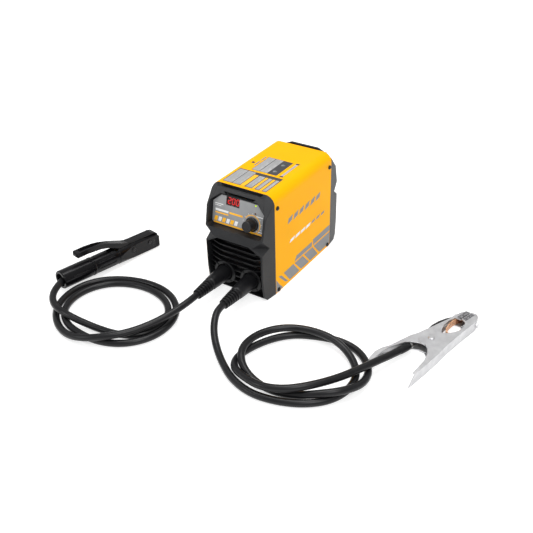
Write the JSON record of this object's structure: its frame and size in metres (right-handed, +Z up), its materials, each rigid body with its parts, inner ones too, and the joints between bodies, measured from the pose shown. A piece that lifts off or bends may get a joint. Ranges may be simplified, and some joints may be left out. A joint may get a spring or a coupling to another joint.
{
  "type": "stick welding inverter",
  "caption": "Portable stick welding inverter in a folded sheet cover between plastic end frames, with loosely coiled leads to an electrode holder and a ground clamp.",
  "frame": {"origin": "middle of the machine's base, at floor level", "axes": "+Z up, -Y out of the control panel, +X to the right seen from the front"},
  "size_m": [0.7123, 0.5362, 0.2],
  "materials": {
    "amber_paint": "satin",
    "frame_plastic": "satin",
    "black_plastic": "satin",
    "gloss_black": "gloss",
    "black_steel": "satin",
    "panel_plastic": "satin",
    "label_film": "satin",
    "smoked_window": "gloss",
    "red_digits": "lit",
    "green_led": "gloss",
    "zinc_steel": "satin",
    "spring_steel": "satin",
    "brass": "satin",
    "copper": "satin",
    "copper_wire": "gloss",
    "copper_braid": "matt",
    "tinned_copper": "satin",
    "circuit_board": "satin",
    "aluminium": "satin",
    "pale_plastic": "matt",
    "capacitor_sleeve": "gloss",
    "ferrite": "matt",
    "black_rubber": "satin",
    "cable_rubber": "satin",
    "dark_strap": "matt"
  },
  "bodies": {
    "machine": {"top_cover": "amber_paint", "base_plate": "amber_paint", "front_frame": "frame_plastic", "rear_frame": "frame_plastic", "case_screws": "black_steel", "control_panel": "panel_plastic", "control_label": "label_film", "display_window": "smoked_window", "display_module": "black_plastic", "display_digits": "red_digits", "indicator_leds": "green_led", "potentiometer_body": "zinc_steel", "control_board": "circuit_board", "front_louvres": "black_plastic", "socket_insulators": "black_plastic", "socket_contacts": "brass", "electrode_plug_sleeve": "black_rubber", "electrode_plug_pin": "brass", "ground_plug_sleeve": "black_rubber", "ground_plug_pin": "brass", "output_busbars": "copper", "main_board": "circuit_board", "heatsinks": "aluminium", "insulating_mounts": "pale_plastic", "power_modules": "black_plastic", "bus_capacitors": "capacitor_sleeve", "transformer_core": "ferrite", "transformer_winding": "copper_wire", "output_choke": "copper_wire", "fan_frame": "black_plastic", "rear_grille": "black_plastic", "rear_panel": "panel_plastic", "power_switch_housing": "black_plastic", "cord_gland": "black_plastic", "electrode_cable": "cable_rubber", "ground_cable": "cable_rubber", "holder_grip": "gloss_black", "holder_body": "gloss_black", "holder_core": "brass", "holder_cable_boot": "black_rubber", "holder_screws": "zinc_steel", "holder_spring": "spring_steel", "clamp_half_fixed": "zinc_steel", "clamp_fasteners": "zinc_steel", "clamp_spring": "spring_steel", "clamp_contact_fixed": "copper", "clamp_braid": "copper_braid", "clamp_strap": "dark_strap", "cable_lug": "tinned_copper"},
    "knob": {"current_knob": "black_plastic", "potentiometer_shaft": "aluminium"},
    "fan": {"fan_rotor": "black_plastic"},
    "rocker": {"power_switch_rocker": "black_plastic"},
    "lever": {"holder_lever": "gloss_black", "holder_jaw": "brass"},
    "clamp_arm": {"clamp_half_moving": "zinc_steel", "clamp_outer_bolt": "zinc_steel", "clamp_contact_moving": "copper"}
  },
  "joints": [
    {"name": "current_knob_turn", "type": "hinge", "parent": "machine", "child": "knob", "pos_m": [0.0285, -0.11603, 0.1444], "axis": [0, -0.9845, 0.1752], "range_deg": [0, 270]},
    {"name": "fan_spin", "type": "hinge", "parent": "machine", "child": "fan", "pos_m": [0, 0.1, 0.052], "axis": [0, 1, 0], "continuous": true},
    {"name": "power_switch_rock", "type": "hinge", "parent": "machine", "child": "rocker", "pos_m": [-0.026, 0.11316, 0.15482], "axis": [1, 0, 0], "range_deg": [0, 16]},
    {"name": "holder_lever_squeeze", "type": "hinge", "parent": "machine", "child": "lever", "pos_m": [-0.24957, -0.1399, 0.0228], "axis": [0.9793, -0.2026, 0], "range_deg": [0, 6.5], "stiffness_Nm_per_rad": 8, "springref_deg": -8.59, "deforming": ["holder_spring"]},
    {"name": "clamp_open", "type": "hinge", "parent": "machine", "child": "clamp_arm", "pos_m": [0.364, -0.097, 0.01], "axis": [0, 0, -1], "range_deg": [0, 22], "stiffness_Nm_per_rad": 2, "springref_deg": -17.19, "deforming": ["clamp_spring", "clamp_braid"]}
  ]
}
